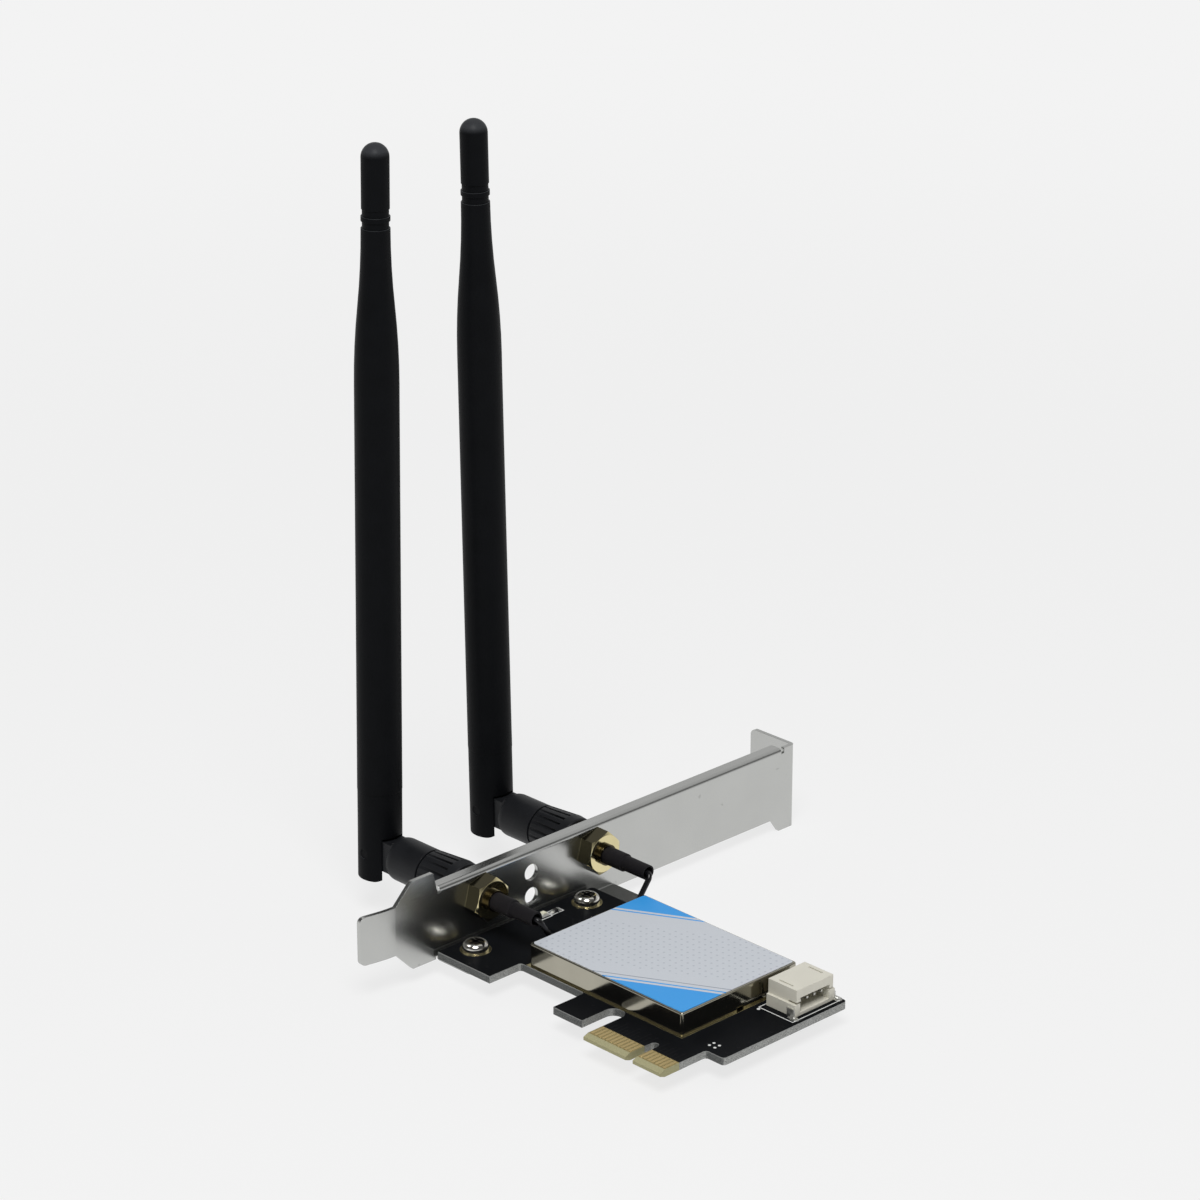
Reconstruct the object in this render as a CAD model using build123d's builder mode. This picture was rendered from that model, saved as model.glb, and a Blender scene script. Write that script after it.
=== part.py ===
"""Plug-in radio network card with two screw-on whip antennas, in millimetres.

Frame: x runs up the card from its contact edge, y runs from the key notch to the bracket and
out to the antennas, and z rises from the component side of the board.
"""

import os

from build123d import *

os.makedirs("parts", exist_ok=True)

# Circuit board
board_thickness = 1.57
board_far_y = -12.75
bracket_y = 57.45
board_gap = 0.6
tongue_plus_y = 12.15
tongue_minus_y = -8.15
shoulder_x = 12.0
hook_x = 3.75
hook_width = 7.8
latch_slot_width = 4.3
latch_slot_depth = 12.1
latch_slot_end_radius = 2.06
recess_near_y = 42.05
key_width = 1.9
key_depth = 7.5
bevel_run = 1.2
bevel_depth = 0.45
board_corner_radius = 0.8

# Contact fingers
finger_pitch = 1.0
finger_width = 0.7
finger_start_x = 1.4
finger_length = 3.5
finger_to_key = 1.5
fingers_bracket_side = 11
fingers_far_side = 7
copper_thickness = 0.05

# Bracket, a folded sheet
sheet = 0.86
fold_radius = 0.1
bracket_length = 119.6
tongue_tip_x = -14.55
tongue_length = 8.1
tongue_width = 10.19
tongue_centre_z = 7.5
tongue_set = 1.1
tongue_bend_run = 2.0
tongue_bend_radius = 22.0
tongue_corner_radius = 1.2
slant_length = 4.25
foot_top_z = 16.75
foot_bottom_z = -1.9
foot_end_x = 3.45
foot_corner_radius = 0.4
flange_top_z = 13.15
flange_reach = 2.9
flange_start_x = 5.2
flange_to_tab = 4.05
lower_edge_z = -2.4
flare_length = 2.15
flare_to_tab = 4.55
tab_reach = 12.0
tab_bottom_z = -5.45
tab_corner_radius = 1.3
screw_slot_width = 4.42
screw_slot_depth = 7.6
relief = 0.8
fold_land = 0.2
ear_reach = 9.3
ear_beside_screw = {"left": (5.1, 5.3), "right": (5.2, 12.2)}
ear_corner_radius = 1.5
light_hole_diameter = 3.5
light_hole_x = 29.3
light_hole_heights = (8.4, 3.3)

# Board screws
screw_to_board_edges = {"left": 5.95, "right": 5.7}
screw_to_bracket = 4.95
screw_diameter = 2.6
screw_head_diameter = 5.2
screw_head_height = 1.8
screw_head_radius = 1.08
screw_tip = 1.0
screw_hole_clearance = 0.3
pad_diameter = 6.2
recess_arm = 2.9
recess_width = 0.8
recess_depth = 0.9

# Shield can with its label
shield_to_shoulder = 0.55
shield_to_board_top = 1.8
shield_low_y = -1.3
shield_width = 31.15
shield_length = 41.45
shield_height = 4.75
shield_wall = 0.3
shield_radius = 0.6
pad_margin = 0.5
label_margin = 0.45
label_thickness = 0.1
cable_slot_width = 1.7
cable_slot_height = 2.5
vent_width = 1.8
vent_height = 0.7

# Antenna sockets on the bracket
left_socket_x = 15.95
right_socket_over_board = 0.85
socket_z = 8.0
hex_flats = 8.0
hex_turn = 45
hex_height = 3.4
hex_rim_diameter = 7.8
hex_chamfer = 0.5
hex_stock_diameter = 9.6
thread_diameter = 6.35
thread_length = 11.0
mouth_diameter = 4.7
mouth_depth = 1.8
insulator_diameter = 4.1
insulator_back = 2.5
contact_diameter = 1.3
contact_reach = 9.0
contact_bore = 1.0
contact_bore_depth = 4.0
stub_diameter = 2.4
stub_length = 4.1
stub_bore = 1.2
washer_thickness = 0.5
washer_diameter = 7.8
washer_teeth = 6
washer_notch_width = 0.9
washer_notch_depth = 0.3
socket_nut_height = 2.0
hole_clearance = 0.1

# Crimp, sleeve and pigtail behind each socket
collar_diameter = 3.3
collar_length = 4.6
collar_rim_diameter = 4.4
collar_rim_length = 0.9
sleeve_wall = 0.2
sleeve_to_shield = 1.65
sleeve_step = 4.9
sleeve_tail_diameter = 3.1
sleeve_tail_bore = 2.4
cable_diameter = 1.13
cable_drop_y = 0.85
cable_run_y = 1.05
cable_slot_insets = {"left": 10.5, "right": 4.45}
cable_lead_step = 3.7
cable_lead_z = 2.72
cable_low_z = 1.7
cable_bend_radius = 1.2
plug_inset = 4.2
plug_neck_diameter = 1.5
plug_neck_length = 1.9
plug_cap_diameter = 2.9
board_socket_size = 3.0
board_socket_base = 0.4
board_socket_post = 1.9
board_socket_height = 1.25

# Parts under the shield: length, width and height of each, and its place from the shield's centre
radio_chip_size = (9.0, 9.0, 0.9)
radio_chip_offset = (0.0, -5.2)
amplifier_size = (4.0, 4.0, 0.8)
amplifier_offsets = ((-6.5, 5.3), (6.5, 5.3))
crystal_size = (3.2, 2.5, 0.7)
crystal_offset = (0.0, -14.7)
filter_size = (1.6, 0.8, 0.6)
filter_rows = 2
filter_columns = 4
filter_pitch = 3.0
filter_offset = (-9.1, -12.2)

# Status lamp and its resistors
lamp_size = (1.8, 1.0, 0.6)
lamp_lens_height = 0.4
lamp_setback = 3.5
resistor_size = (1.6, 0.8, 0.5)
resistor_offsets = (-3.2, 3.2)

# Four-way cable header, open towards the far edge of the board
header_to_board_top = 6.8
header_back_y = -3.3
header_width = 10.0
header_depth = 7.4
header_height = 5.5
header_wall = 1.0
header_floor = 0.7
header_mouth_height = 3.0
header_lip = 0.5
header_lip_height = 2.5
header_slit_height = 0.4
header_slit_depth = 2.2
header_groove_width = 0.35
header_groove_depth = 0.3
header_pins_count = 4
header_pitch = 2.0
header_pin = 0.5
header_pin_z = 2.4
header_tail = 1.2
header_tab_width = 1.1
header_tab_reach = 0.9
header_tab_thickness = 0.3
header_tab_height = 1.7

# Coupling nut, plug and barrel of each antenna
nut_start = 4.4
nut_length = 10.0
nut_mouth_diameter = 10.2
nut_back_diameter = 9.2
nut_collar = 2.2
nut_lip = 1.2
nut_lip_bore = 5.2
nut_ridges = 20
nut_groove_width = 0.55
nut_groove_depth = 0.35
thread_clearance = 0.05
seat_gap = 0.1
spigot_clearance = 0.07
plug_flange_diameter = 6.1
plug_flange_length = 1.8
neck_diameter = 5.0
neck_length = 6.9
plug_bore = 3.8
plug_pin_diameter = 0.9
plug_pin_reach = 3.3
barrel_gap = 0.2
barrel_diameter = 9.1
barrel_end = 25.3
barrel_end_radius = 3.0
barrel_flat_start = 23.4
running_clearance = 0.05
rib_start = 17.0
rib_length = 1.0
rib_depth = 0.3
rib_clearance = 0.1

# Tilting knuckle and whip of each antenna
hinge_reach = 30.0
whip_leans = {"left": 0.95, "right": 1.15}
link_thickness = 5.0
link_radius = 3.2
link_side_gap = 0.15
link_root_gap = 0.5
hinge_pin_diameter = 2.0
knuckle_diameter = 8.95
knuckle_tail = 5.55
knuckle_tail_radius = 2.2
knuckle_top = 13.2
spigot_diameter = 6.4
spigot_length = 5.8
core_bore = 2.2
whip_base_diameter = 9.05
whip_diameter = 8.8
whip_length = 132.2
whip_bore_clearance = 0.05
whip_straight = 84.5
whip_taper = 31.1
neck_ring_diameter = 5.7
cap_diameter = 5.5
cap_length = 12.8
groove_width = 1.45
groove_depth = 0.25
tip_bore = 3.4
tip_wall = 4.0
core_gap = 0.05
radiator_start = 24.0
radiator_length = 36.0
radiator_diameter = 5.2
radiator_wall = 0.4

# Derived sizes
board_edge_y = bracket_y - board_gap
hook_end_y = tongue_plus_y + latch_slot_width
recess_far_y = hook_end_y + hook_width
tab_outer_x = tongue_tip_x + bracket_length
tab_seat_x = tab_outer_x - sheet
tab_top_z = flange_top_z
flange_end_x = tab_outer_x - flange_to_tab
tongue_bend_x = tongue_tip_x + tongue_length
tongue_corner_x = tongue_bend_x - tongue_bend_run
tongue_top_z = tongue_centre_z + tongue_width / 2
tongue_bottom_z = tongue_centre_z - tongue_width / 2
foot_start_x = tongue_bend_x + slant_length
fold_outer = fold_radius + sheet
fold_band = fold_outer + fold_land
tab_root_y = bracket_y + fold_band
ear_top_z = -board_thickness
shield_low_x = shoulder_x + shield_to_shoulder
shield_high_x = shield_low_x + shield_width
shield_back_y = shield_low_y + shield_length
board_height = shield_high_x + shield_to_board_top
header_centre_x = board_height - header_to_board_top
socket_xs = {"left": left_socket_x, "right": board_height + right_socket_over_board}
screw_xs = {
    "left": hook_x + screw_to_board_edges["left"],
    "right": board_height - screw_to_board_edges["right"],
}
screw_points = [(x, bracket_y - screw_to_bracket) for x in screw_xs.values()]
ear_spans = [(x - ear_beside_screw[side][0], x + ear_beside_screw[side][1]) for side, x in screw_xs.items()]
shield_centre = (shield_low_x + shield_width / 2, shield_low_y + shield_length / 2)
hinge_y = bracket_y + hinge_reach
inward = {"left": 1, "right": -1}
cable_slot_xs = {
    "left": shield_low_x + cable_slot_insets["left"],
    "right": shield_high_x - cable_slot_insets["right"],
}
plug_y = shield_back_y - plug_inset


def keep(piece, name):
    """Label a finished sub-part and write its STEP file."""
    piece.part.label = name
    export_step(piece.part, f"parts/{name}.step")


def socket_axis(x):
    """Axis of the antenna socket at x, pointing out of the bracket."""
    return Axis((x, bracket_y, socket_z), (0, 1, 0))


def keep_leaning(piece, side, name):
    """Keep a sub-part of an antenna's turning end, leant inward about its socket's axis."""
    lean = inward[side] * whip_leans[side]
    leaning = piece.part.rotate(socket_axis(socket_xs[side]), lean)
    leaning.label = f"{side}_{name}"
    export_step(leaning, f"parts/{side}_{name}.step")


def turned_on_socket(x, outline):
    """Solid of revolution about a socket's axis: outline holds (distance out of the bracket, radius)."""
    with BuildPart() as turned:
        with BuildSketch(Plane((x, bracket_y, socket_z), x_dir=(0, 1, 0), z_dir=(1, 0, 0))):
            with BuildLine():
                Polyline(*outline, close=True)
            make_face()
        revolve(axis=socket_axis(x))
    return turned.part


def tube_on_socket(x, start, end, bore, diameter):
    """Plain tube about a socket's axis."""
    corners = ((start, bore / 2), (end, bore / 2), (end, diameter / 2), (start, diameter / 2))
    return turned_on_socket(x, corners)


def socket_plane(x, reach):
    """Plane across a socket's axis, at a reach from the bracket's inner face, facing outward."""
    return Plane((x, bracket_y + reach, socket_z), x_dir=(-1, 0, 0), z_dir=(0, 1, 0))


def hex_on_socket(x, rim, seat, turn=0):
    """Hexagonal prism about a socket's axis: its corners are chamfered at the rim and square at the seat."""
    with BuildPart() as prism:
        with BuildSketch(socket_plane(x, min(rim, seat))):
            RegularPolygon(hex_flats / 2, 6, major_radius=False, rotation=turn)
        extrude(amount=abs(seat - rim))
        chamfer_end = rim + hex_chamfer if seat > rim else rim - hex_chamfer
        stock = (
            (rim, 0),
            (rim, hex_rim_diameter / 2),
            (chamfer_end, hex_stock_diameter / 2),
            (seat, hex_stock_diameter / 2),
            (seat, 0),
        )
        add(turned_on_socket(x, stock), mode=Mode.INTERSECT)
    return prism.part


def whip_plane(x):
    """Upright plane through a whip's axis, with its origin at the hinge."""
    return Plane((x, hinge_y, socket_z), x_dir=(1, 0, 0), z_dir=(0, -1, 0))


def side_plane(x):
    """Plane across the hinge pin: its first axis runs outward and its second one up."""
    return Plane((x, hinge_y, socket_z), x_dir=(0, 1, 0), z_dir=(1, 0, 0))


# The bracket: face, tongue, stiffening flange, board ears and screw tab folded from one sheet
def bracket_face_points():
    """Outline of the flat face, as (x, z), with notches where the sheet folds away."""
    top = flange_top_z - fold_band
    low = ear_top_z + fold_radius + fold_land
    right = tab_outer_x - fold_band
    flare_end = tab_outer_x - flare_to_tab
    upper = [
        (tongue_bend_x, tongue_top_z),
        (foot_start_x, foot_top_z),
        (foot_end_x, foot_top_z),
        (flange_start_x - relief, flange_top_z - fold_outer),
        (flange_start_x - relief, top),
        (flange_end_x + relief, top),
        (flange_end_x + relief, tab_top_z),
        (right, tab_top_z),
        (right, tab_bottom_z),
        (flare_end, tab_bottom_z),
        (flare_end - flare_length, lower_edge_z),
    ]
    lower = []
    for start, end in reversed(ear_spans):
        lower += [
            (end + relief, lower_edge_z),
            (end + relief, low),
            (start - relief, low),
            (start - relief, lower_edge_z),
        ]
    lower[-1] = (ear_spans[0][0] - relief, foot_bottom_z)
    return upper + lower + [(foot_start_x, foot_bottom_z), (tongue_bend_x, tongue_bottom_z)]


with BuildPart() as bracket:
    with BuildSketch(Plane.XZ.offset(-bracket_y)) as face:
        with BuildLine():
            Polyline(*bracket_face_points(), close=True)
        make_face()
        with Locations(*[(x, socket_z) for x in socket_xs.values()]):
            Circle(thread_diameter / 2 + hole_clearance, mode=Mode.SUBTRACT)
        with Locations(*[(light_hole_x, z) for z in light_hole_heights]):
            Circle(light_hole_diameter / 2, mode=Mode.SUBTRACT)
        for corner in ((foot_start_x, foot_top_z), (foot_end_x, foot_top_z), (foot_start_x, foot_bottom_z)):
            fillet(face.vertices().sort_by_distance(corner)[0], foot_corner_radius)
    extrude(amount=-sheet)
    with BuildSketch(Plane.XY.offset(tongue_bottom_z)) as tongue_section:
        with BuildLine():
            Polyline(
                (foot_start_x, bracket_y),
                (tongue_corner_x, bracket_y),
                (tongue_tip_x, bracket_y + tongue_set),
                (tongue_tip_x, bracket_y + tongue_set + sheet),
                (tongue_corner_x, bracket_y + sheet),
                (foot_start_x, bracket_y + sheet),
                close=True,
            )
        make_face()
        for bend_y, bend_radius in (
            (bracket_y, tongue_bend_radius),
            (bracket_y + sheet, tongue_bend_radius - sheet),
        ):
            fillet(tongue_section.vertices().sort_by_distance((tongue_corner_x, bend_y))[0], bend_radius)
    extrude(amount=tongue_width)
    fillet(bracket.edges().filter_by(Axis.Y).group_by(Axis.X)[0], tongue_corner_radius)
    with BuildSketch(Plane.YZ.offset(flange_start_x)) as flange_section:
        with BuildLine():
            Polyline(
                (bracket_y, flange_top_z - fold_band),
                (bracket_y, flange_top_z),
                (bracket_y + flange_reach, flange_top_z),
                (bracket_y + flange_reach, flange_top_z - sheet),
                (bracket_y + sheet, flange_top_z - sheet),
                (bracket_y + sheet, flange_top_z - fold_band),
                close=True,
            )
        make_face()
        fillet(flange_section.vertices().sort_by_distance((bracket_y, flange_top_z))[0], fold_outer)
        inner_corner = (bracket_y + sheet, flange_top_z - sheet)
        fillet(flange_section.vertices().sort_by_distance(inner_corner)[0], fold_radius)
    extrude(amount=flange_end_x - flange_start_x)
    for ear_start, ear_end in ear_spans:
        with BuildSketch(Plane.YZ.offset(ear_start)) as ear_section:
            with BuildLine():
                Polyline(
                    (bracket_y + sheet, ear_top_z + fold_radius + fold_land),
                    (bracket_y + sheet, ear_top_z - sheet),
                    (bracket_y - ear_reach, ear_top_z - sheet),
                    (bracket_y - ear_reach, ear_top_z),
                    (bracket_y, ear_top_z),
                    (bracket_y, ear_top_z + fold_radius + fold_land),
                    close=True,
                )
            make_face()
            outer_corner = (bracket_y + sheet, ear_top_z - sheet)
            fillet(ear_section.vertices().sort_by_distance(outer_corner)[0], fold_outer)
            fillet(ear_section.vertices().sort_by_distance((bracket_y, ear_top_z))[0], fold_radius)
        extrude(amount=ear_end - ear_start)
    fillet(bracket.edges().filter_by(Axis.Z).group_by(Axis.Y)[0], ear_corner_radius)
    with Locations(*[(x, y, ear_top_z - sheet / 2) for x, y in screw_points]):
        Cylinder(screw_diameter / 2, 2 * sheet, mode=Mode.SUBTRACT)
    with BuildSketch(Plane.XY.offset(tab_bottom_z)) as tab_section:
        with BuildLine():
            Polyline(
                (tab_outer_x - fold_band, bracket_y),
                (tab_outer_x, bracket_y),
                (tab_outer_x, tab_root_y),
                (tab_seat_x, tab_root_y),
                (tab_seat_x, bracket_y + sheet),
                (tab_outer_x - fold_band, bracket_y + sheet),
                close=True,
            )
        make_face()
        fillet(tab_section.vertices().sort_by_distance((tab_outer_x, bracket_y))[0], fold_outer)
        fillet(tab_section.vertices().sort_by_distance((tab_seat_x, bracket_y + sheet))[0], fold_radius)
    extrude(amount=tab_top_z - tab_bottom_z)
keep(bracket, "bracket")

# The bracket's screw tab beyond its bend, a node of its own so that its open slot stays open in collision
with BuildPart() as bracket_tab:
    tab_length = bracket_y + tab_reach - tab_root_y
    slot_y = bracket_y + sheet + (tab_reach - sheet) / 2
    slot_z = tab_bottom_z + screw_slot_depth - screw_slot_width / 2
    with BuildSketch(Plane.YZ.offset(tab_seat_x)) as tab_face:
        with Locations((tab_root_y + tab_length / 2, (tab_top_z + tab_bottom_z) / 2)):
            Rectangle(tab_length, tab_top_z - tab_bottom_z)
        fillet(tab_face.vertices().group_by(Axis.X)[-1], tab_corner_radius)
        with Locations((slot_y, slot_z)):
            Circle(screw_slot_width / 2, mode=Mode.SUBTRACT)
        with Locations((slot_y, slot_z - screw_slot_depth / 2)):
            Rectangle(screw_slot_width, screw_slot_depth, mode=Mode.SUBTRACT)
    extrude(amount=sheet)
keep(bracket_tab, "bracket_tab")

# The board: outline with contact tongue, latch hook and recess, then key notch, bevels and holes
with BuildPart() as circuit_board:
    with BuildSketch(Plane.XY.offset(-board_thickness)) as outline:
        with BuildLine():
            Polyline(
                (0, tongue_plus_y),
                (0, tongue_minus_y),
                (shoulder_x, tongue_minus_y),
                (shoulder_x, board_far_y),
                (board_height, board_far_y),
                (board_height, board_edge_y),
                (hook_x, board_edge_y),
                (hook_x, recess_near_y),
                (shoulder_x, recess_near_y),
                (shoulder_x, recess_far_y),
                (hook_x, recess_far_y),
                (hook_x, hook_end_y),
                (latch_slot_depth, hook_end_y),
                (latch_slot_depth, tongue_plus_y),
                close=True,
            )
        make_face()
        for corner in ((latch_slot_depth, hook_end_y), (latch_slot_depth, tongue_plus_y)):
            fillet(outline.vertices().sort_by_distance(corner)[0], latch_slot_end_radius)
        for corner in (
            (shoulder_x, tongue_minus_y),
            (shoulder_x, board_far_y),
            (board_height, board_far_y),
            (board_height, board_edge_y),
            (shoulder_x, recess_near_y),
            (shoulder_x, recess_far_y),
        ):
            fillet(outline.vertices().sort_by_distance(corner)[0], board_corner_radius)
        with Locations(((key_depth - key_width / 2) / 2, 0)):
            Rectangle(key_depth - key_width / 2, key_width, mode=Mode.SUBTRACT)
        with Locations((key_depth - key_width / 2, 0)):
            Circle(key_width / 2, mode=Mode.SUBTRACT)
        with Locations(*screw_points):
            Circle(screw_diameter / 2 + screw_hole_clearance, mode=Mode.SUBTRACT)
    extrude(amount=board_thickness)
    with BuildSketch(Plane.XZ.offset(-tongue_plus_y)):
        with BuildLine():
            Polyline((0, 0), (bevel_run, 0), (0, -bevel_depth), close=True)
        make_face()
        with BuildLine():
            Polyline(
                (0, -board_thickness),
                (bevel_run, -board_thickness),
                (0, bevel_depth - board_thickness),
                close=True,
            )
        make_face()
    extrude(amount=tongue_plus_y - tongue_minus_y, mode=Mode.SUBTRACT)
keep(circuit_board, "circuit_board")

# Contact fingers on both faces of the board
finger_ys = [finger_to_key + n * finger_pitch for n in range(fingers_bracket_side)]
finger_ys += [-finger_to_key - n * finger_pitch for n in range(fingers_far_side)]
finger_middle_x = finger_start_x + finger_length / 2
finger_heights = {"top": copper_thickness / 2, "bottom": -board_thickness - copper_thickness / 2}
for face_name, height in finger_heights.items():
    with BuildPart() as fingers:
        with Locations(*[(finger_middle_x, y, height) for y in finger_ys]):
            Box(finger_length, finger_width, copper_thickness)
    keep(fingers, f"contact_fingers_{face_name}")

# Screw pads and pan-head screws that hold the board to the bracket's ears
with BuildPart() as screw_pads:
    with BuildSketch():
        with Locations(*screw_points):
            Circle(pad_diameter / 2)
            Circle(screw_diameter / 2 + screw_hole_clearance, mode=Mode.SUBTRACT)
    extrude(amount=copper_thickness)
keep(screw_pads, "screw_pads")

shank_length = copper_thickness + board_thickness + sheet + screw_tip
with BuildPart() as board_screws:
    with Locations(*[(x, y, copper_thickness) for x, y in screw_points]):
        Cylinder(
            screw_head_diameter / 2,
            screw_head_height,
            align=(Align.CENTER, Align.CENTER, Align.MIN),
        )
        Cylinder(screw_diameter / 2, shank_length, align=(Align.CENTER, Align.CENTER, Align.MAX))
    head_rims = board_screws.edges().filter_by(GeomType.CIRCLE).group_by(Axis.Z)[-1]
    fillet(head_rims, screw_head_radius)
    with Locations(*[(x, y, copper_thickness + screw_head_height) for x, y in screw_points]):
        Box(recess_arm, recess_width, 2 * recess_depth, mode=Mode.SUBTRACT)
        Box(recess_width, recess_arm, 2 * recess_depth, mode=Mode.SUBTRACT)
keep(board_screws, "board_screws")

# Shield can: an open-bottomed shell on a ground pad, slotted for the two pigtails
with BuildPart() as shield_ground_pad:
    with BuildSketch():
        with Locations(shield_centre):
            Rectangle(shield_width + 2 * pad_margin, shield_length + 2 * pad_margin)
            Rectangle(
                shield_width - 2 * shield_wall - 2 * pad_margin,
                shield_length - 2 * shield_wall - 2 * pad_margin,
                mode=Mode.SUBTRACT,
            )
    extrude(amount=copper_thickness)
keep(shield_ground_pad, "shield_ground_pad")

with BuildPart() as shield_can:
    with BuildSketch(Plane.XY.offset(copper_thickness)):
        with Locations(shield_centre):
            RectangleRounded(shield_width, shield_length, shield_radius)
    extrude(amount=shield_height - copper_thickness)
    fillet(shield_can.faces().sort_by(Axis.Z)[-1].edges(), shield_radius / 2)
    with BuildSketch(Plane.XY.offset(copper_thickness)):
        with Locations(shield_centre):
            Rectangle(shield_width - 2 * shield_wall, shield_length - 2 * shield_wall)
    extrude(amount=shield_height - copper_thickness - shield_wall, mode=Mode.SUBTRACT)
    with Locations(*[(x, shield_back_y, copper_thickness) for x in cable_slot_xs.values()]):
        Box(
            cable_slot_width,
            4 * shield_wall,
            cable_slot_height,
            align=(Align.CENTER, Align.CENTER, Align.MIN),
            mode=Mode.SUBTRACT,
        )
    with Locations((shield_centre[0], shield_low_y, copper_thickness)):
        Box(
            vent_width,
            4 * shield_wall,
            vent_height,
            align=(Align.CENTER, Align.CENTER, Align.MIN),
            mode=Mode.SUBTRACT,
        )
keep(shield_can, "shield_can")

with BuildPart() as shield_label:
    with BuildSketch(Plane.XY.offset(shield_height)):
        with Locations(shield_centre):
            RectangleRounded(
                shield_width - 2 * label_margin,
                shield_length - 2 * label_margin,
                shield_radius,
            )
    extrude(amount=label_thickness)
keep(shield_label, "shield_label")


def block(size, centres):
    """Equal board-mounted blocks standing on the component side."""
    with BuildPart() as blocks:
        with Locations(*[(x, y, 0) for x, y in centres]):
            Box(*size, align=(Align.CENTER, Align.CENTER, Align.MIN))
    return blocks


def under_shield(offset):
    """Point on the board, from an offset to the shield's centre."""
    return shield_centre[0] + offset[0], shield_centre[1] + offset[1]


# Parts under the shield
keep(block(radio_chip_size, [under_shield(radio_chip_offset)]), "radio_chip")
keep(block(amplifier_size, [under_shield(offset) for offset in amplifier_offsets]), "amplifier_chips")
keep(block(crystal_size, [under_shield(crystal_offset)]), "clock_crystal")
with BuildPart() as filter_parts:
    with Locations((*under_shield(filter_offset), 0)):
        with GridLocations(filter_pitch, filter_pitch, filter_rows, filter_columns):
            Box(*filter_size, align=(Align.CENTER, Align.CENTER, Align.MIN))
keep(filter_parts, "filter_parts")

# Status lamp behind the bracket's light holes
lamp_y = bracket_y - lamp_setback
with BuildPart() as status_lamp:
    with Locations((light_hole_x, lamp_y, 0)):
        Box(*lamp_size, align=(Align.CENTER, Align.CENTER, Align.MIN))
    with Locations((light_hole_x, lamp_y, lamp_size[2])):
        Box(
            lamp_size[0] / 2,
            lamp_size[1],
            lamp_lens_height,
            align=(Align.CENTER, Align.CENTER, Align.MIN),
        )
    lens_edges = status_lamp.faces().sort_by(Axis.Z)[-1].edges()
    fillet(lens_edges, lamp_lens_height / 2)
keep(status_lamp, "status_lamp")
keep(block(resistor_size, [(light_hole_x + dx, lamp_y) for dx in resistor_offsets]), "lamp_resistors")

# Cable header
header_front_y = header_back_y - header_depth
header_middle_y = (header_back_y + header_front_y) / 2
mouth_width = header_width - 2 * header_wall
with BuildPart() as header_housing:
    with Locations((header_centre_x, header_middle_y, 0)):
        Box(header_width, header_depth, header_height, align=(Align.CENTER, Align.CENTER, Align.MIN))
        Box(
            header_width + 2 * header_lip,
            header_depth,
            header_lip_height,
            align=(Align.CENTER, Align.CENTER, Align.MIN),
        )
    with Locations((header_centre_x, header_front_y, header_floor)):
        Box(
            mouth_width,
            2 * (header_depth - header_wall),
            header_mouth_height,
            align=(Align.CENTER, Align.CENTER, Align.MIN),
            mode=Mode.SUBTRACT,
        )
    with Locations((header_centre_x, header_front_y, header_lip_height)):
        Box(
            2 * header_width,
            2 * header_slit_depth,
            header_slit_height,
            align=(Align.CENTER, Align.CENTER, Align.MIN),
            mode=Mode.SUBTRACT,
        )
    groove_shift = header_width / 2 - header_wall
    with Locations(
        (header_centre_x - groove_shift, header_middle_y, header_height),
        (header_centre_x + groove_shift, header_middle_y, header_height),
    ):
        Box(header_groove_width, header_depth / 2, 2 * header_groove_depth, mode=Mode.SUBTRACT)
    pin_points = [
        (header_centre_x + (n - (header_pins_count - 1) / 2) * header_pitch, header_back_y, header_pin_z)
        for n in range(header_pins_count)
    ]
    with Locations(*pin_points):
        Box(header_pin, 3 * header_wall, header_pin, mode=Mode.SUBTRACT)
keep(header_housing, "header_housing")

with BuildPart() as header_pins:
    for pin_x, _, _ in pin_points:
        with BuildSketch(Plane.YZ.offset(pin_x - header_pin / 2)):
            with BuildLine():
                tail_y = header_back_y + header_tail
                Polyline(
                    (header_front_y + header_wall, header_pin_z - header_pin / 2),
                    (header_back_y + header_pin / 4, header_pin_z - header_pin / 2),
                    (header_back_y + header_pin / 4, 0),
                    (tail_y + header_pin / 4, 0),
                    (tail_y + header_pin / 4, header_pin / 2),
                    (header_back_y + 5 * header_pin / 4, header_pin / 2),
                    (header_back_y + 5 * header_pin / 4, header_pin_z + header_pin / 2),
                    (header_front_y + header_wall, header_pin_z + header_pin / 2),
                    close=True,
                )
            make_face()
        extrude(amount=header_pin)
keep(header_pins, "header_pins")

with BuildPart() as header_tabs:
    tab_shift = (header_width / 2 + header_lip) + header_tab_thickness / 2
    for direction in (-1, 1):
        tab_x = header_centre_x + direction * tab_shift
        with Locations((tab_x, header_front_y, 0)):
            Box(
                header_tab_thickness,
                2 * header_tab_reach,
                header_tab_height,
                align=(Align.CENTER, Align.MIN, Align.MIN),
            )
        with Locations((tab_x - direction * header_tab_thickness / 2, header_front_y, 0)):
            Box(
                header_tab_width,
                2 * header_tab_reach,
                header_tab_thickness,
                align=(Align.MIN if direction > 0 else Align.MAX, Align.CENTER, Align.MIN),
            )
keep(header_tabs, "header_tabs")


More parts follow.
